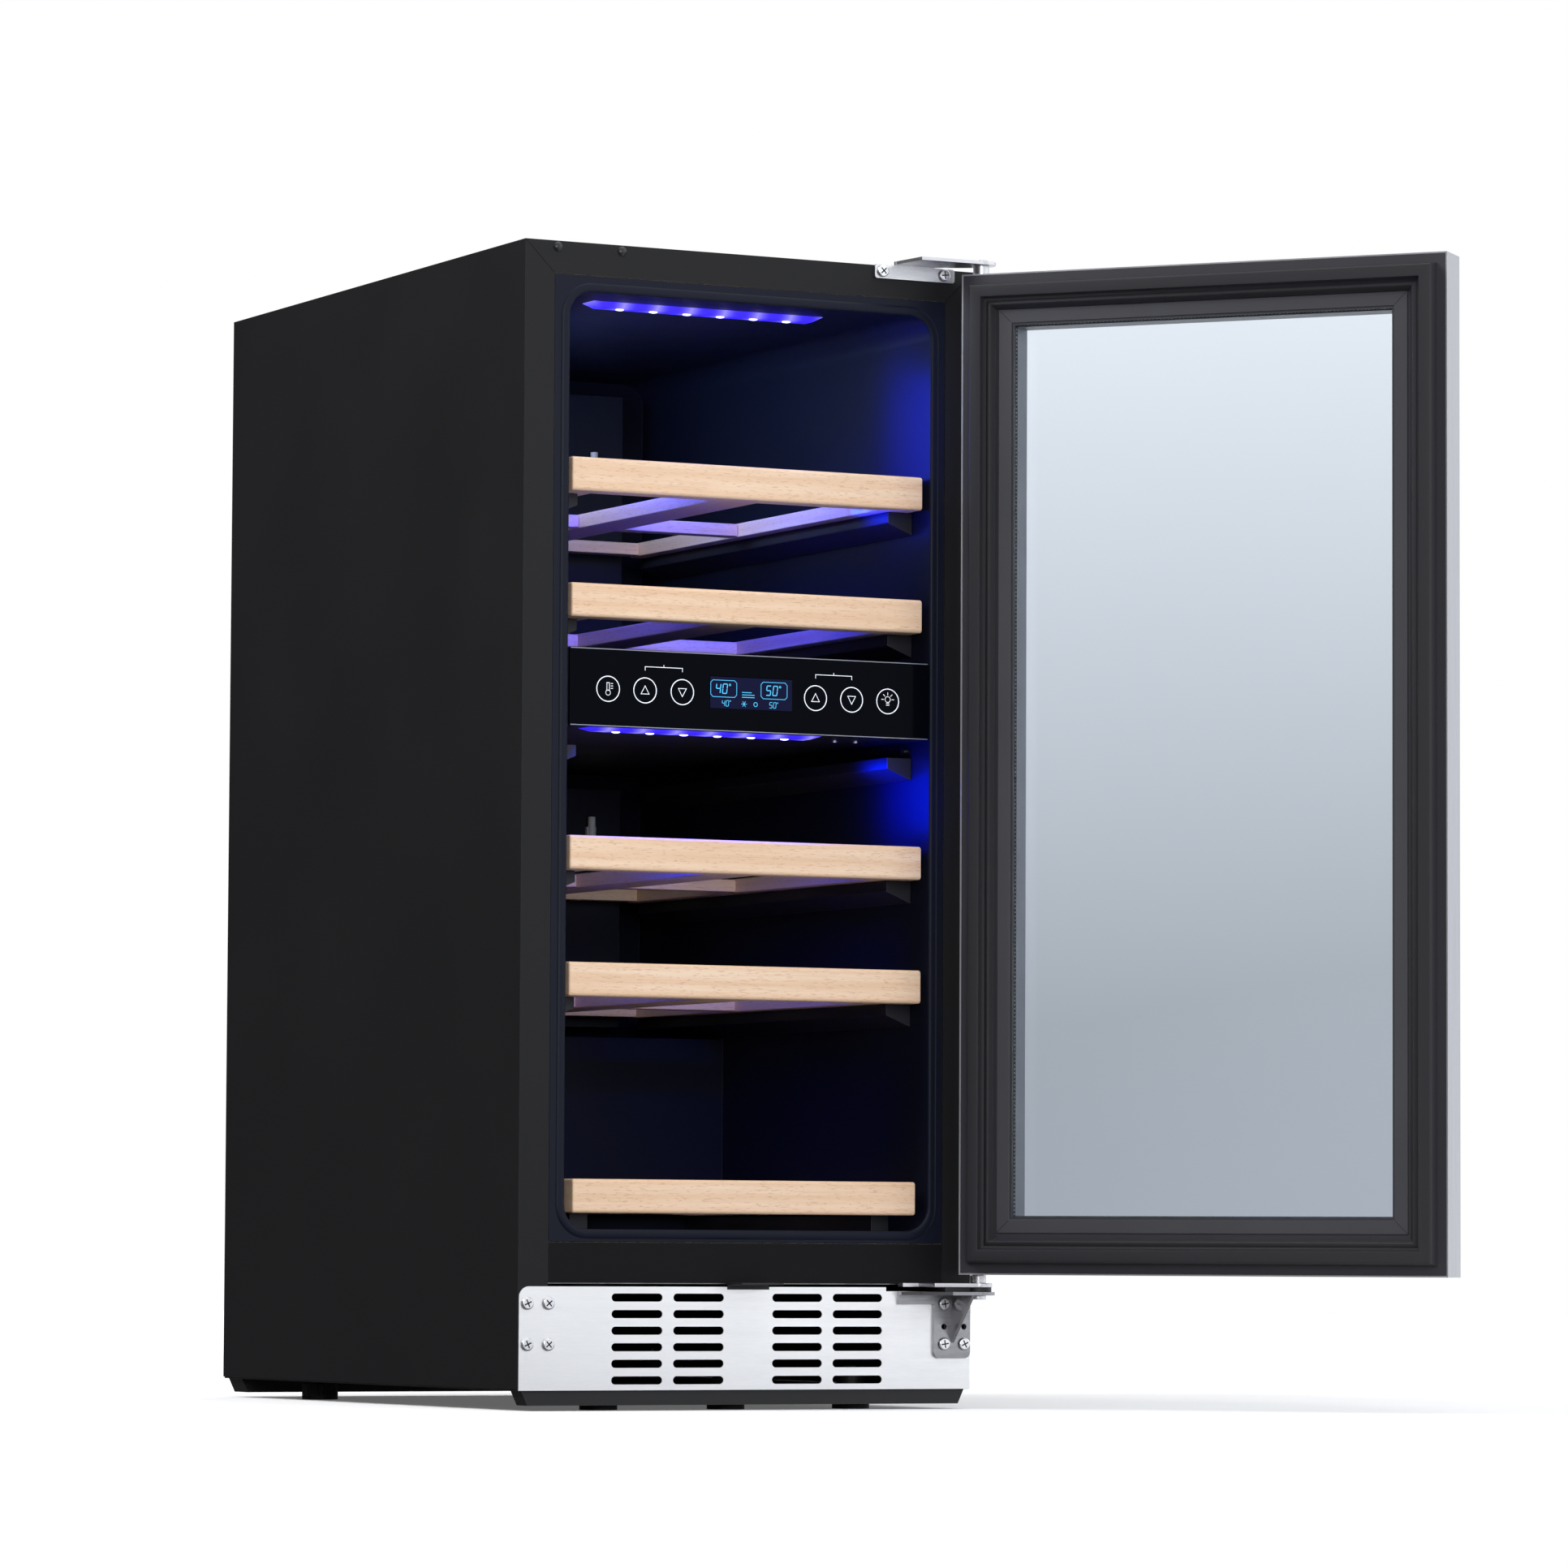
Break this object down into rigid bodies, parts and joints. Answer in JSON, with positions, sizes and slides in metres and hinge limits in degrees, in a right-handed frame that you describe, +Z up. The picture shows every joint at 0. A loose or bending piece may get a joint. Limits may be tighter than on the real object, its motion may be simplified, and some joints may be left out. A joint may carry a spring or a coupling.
{
  "type": "wine cooler",
  "caption": "Two-zone under-counter wine cooler: black case, open glass door in a steel frame, sliding wooden shelves, touch control panel and vented kick plate.",
  "frame": {"origin": "on the floor under the centre front foot, midway between the case's sides", "axes": "+X to the right of someone facing the door, +Y to the back, +Z up"},
  "size_m": [0.6397, 0.8625, 0.863],
  "materials": {
    "wrapper_steel": "satin",
    "liner_plastic": "satin",
    "rail_plastic": "satin",
    "foam": "matte",
    "galvanised_steel": "satin",
    "stainless_steel": "satin",
    "screw_steel": "gloss",
    "black_plastic": "satin",
    "panel_gloss": "gloss",
    "display_blue": "gloss",
    "circuit_board": "satin",
    "lens_plastic": "gloss",
    "coil_aluminium": "satin",
    "sensor_white": "satin",
    "compressor_black": "satin",
    "rubber": "matte",
    "gasket_rubber": "satin",
    "door_plastic": "satin",
    "clear_glass": "gloss",
    "spacer_aluminium": "satin",
    "bush_plastic": "satin",
    "lock_brass": "satin",
    "beech": "satin",
    "divider_body": "satin"
  },
  "bodies": {
    "cabinet": {"outer_wrapper": "wrapper_steel", "rear_panel": "wrapper_steel", "base_pan": "wrapper_steel", "compartment_shield": "galvanised_steel", "inner_liner": "liner_plastic", "lower_front_rail": "rail_plastic", "foam_insulation": "foam", "kick_plate": "stainless_steel", "case_screws": "screw_steel", "hinge_hole_plugs": "black_plastic", "top_hinge_bracket": "stainless_steel", "bottom_hinge_bracket": "stainless_steel", "hinge_spacer": "black_plastic", "bottom_hinge_plate": "stainless_steel", "hinge_pins": "screw_steel", "lock_strike": "wrapper_steel", "zone_divider": "divider_body", "control_panel": "panel_gloss", "display_window": "display_blue", "circuit_boards": "circuit_board", "led_lenses": "lens_plastic", "shelf_rails": "liner_plastic", "duct_covers": "liner_plastic", "evaporators": "coil_aluminium", "fan_frames": "black_plastic", "temperature_sensors": "sensor_white", "compressor": "compressor_black", "compressor_grommets": "rubber", "condenser": "coil_aluminium", "drip_tray": "black_plastic", "power_inlet": "black_plastic", "machine_cover": "wrapper_steel"},
    "door": {"door_skin": "stainless_steel", "door_inner_frame": "door_plastic", "door_gasket": "gasket_rubber", "glass_panes": "clear_glass", "glass_spacer": "spacer_aluminium", "door_handle": "stainless_steel", "hinge_bushings": "bush_plastic", "door_lock_body": "screw_steel"},
    "lock_barrel": {"lock_barrel": "lock_brass"},
    "lock_bolt": {"lock_bolt": "screw_steel"},
    "upper_fan": {"upper_fan_rotor": "black_plastic"},
    "lower_fan": {"lower_fan_rotor": "black_plastic"},
    "condenser_fan": {"condenser_fan_rotor": "black_plastic"},
    "shelf_1": {"shelf_1_front": "beech", "shelf_1_rack": "beech"},
    "shelf_2": {"shelf_2_front": "beech", "shelf_2_rack": "beech"},
    "shelf_3": {"shelf_3_front": "beech", "shelf_3_rack": "beech"},
    "shelf_4": {"shelf_4_front": "beech", "shelf_4_rack": "beech"},
    "shelf_5": {"shelf_5_front": "beech", "shelf_5_rack": "beech"},
    "front_left_foot": {"front_left_foot": "black_plastic"},
    "front_centre_foot": {"front_centre_foot": "black_plastic"},
    "front_right_foot": {"front_right_foot": "black_plastic"},
    "rear_left_foot": {"rear_left_foot": "black_plastic"},
    "rear_right_foot": {"rear_right_foot": "black_plastic"}
  },
  "joints": [
    {"name": "door_hinge", "type": "hinge", "parent": "cabinet", "child": "door", "pos_m": [0.1795, -0.062, 0.437], "axis": [0, 0, 1], "range_deg": [-130.9, 0]},
    {"name": "lock_turn", "type": "hinge", "parent": "door", "child": "lock_barrel", "pos_m": [0.30988, -0.18654, 0.1133], "axis": [-0.7559, -0.6547, 0], "range_deg": [0, 90]},
    {"name": "lock_bolt_slide", "type": "slide", "parent": "door", "child": "lock_bolt", "axis": [0, 0, -1], "range_m": [0, 0.01]},
    {"name": "upper_fan_spin", "type": "hinge", "parent": "cabinet", "child": "upper_fan", "pos_m": [0, 0.4215, 0.7615], "axis": [0, -1, 0], "continuous": true},
    {"name": "lower_fan_spin", "type": "hinge", "parent": "cabinet", "child": "lower_fan", "pos_m": [0, 0.4215, 0.439], "axis": [0, -1, 0], "continuous": true},
    {"name": "condenser_fan_spin", "type": "hinge", "parent": "cabinet", "child": "condenser_fan", "pos_m": [-0.1, 0.413, 0.0745], "axis": [0, -1, 0], "continuous": true},
    {"name": "shelf_1_slide", "type": "slide", "parent": "cabinet", "child": "shelf_1", "axis": [0, -1, 0], "range_m": [0, 0.25]},
    {"name": "shelf_2_slide", "type": "slide", "parent": "cabinet", "child": "shelf_2", "axis": [0, -1, 0], "range_m": [0, 0.25]},
    {"name": "shelf_3_slide", "type": "slide", "parent": "cabinet", "child": "shelf_3", "axis": [0, -1, 0], "range_m": [0, 0.25]},
    {"name": "shelf_4_slide", "type": "slide", "parent": "cabinet", "child": "shelf_4", "axis": [0, -1, 0], "range_m": [0, 0.25]},
    {"name": "shelf_5_slide", "type": "slide", "parent": "cabinet", "child": "shelf_5", "axis": [0, -1, 0], "range_m": [0, 0.2]},
    {"name": "front_left_foot_screw", "type": "slide", "parent": "cabinet", "child": "front_left_foot", "axis": [0, 0, -1], "range_m": [0, 0.012]},
    {"name": "front_centre_foot_screw", "type": "slide", "parent": "cabinet", "child": "front_centre_foot", "axis": [0, 0, -1], "range_m": [0, 0.012]},
    {"name": "front_right_foot_screw", "type": "slide", "parent": "cabinet", "child": "front_right_foot", "axis": [0, 0, -1], "range_m": [0, 0.012]},
    {"name": "rear_left_foot_screw", "type": "slide", "parent": "cabinet", "child": "rear_left_foot", "axis": [0, 0, -1], "range_m": [0, 0.012]},
    {"name": "rear_right_foot_screw", "type": "slide", "parent": "cabinet", "child": "rear_right_foot", "axis": [0, 0, -1], "range_m": [0, 0.012]}
  ],
  "couplings": [
    {"joint": "lock_turn", "follows": "lock_bolt_slide", "rad_per_m": 157.08}
  ]
}
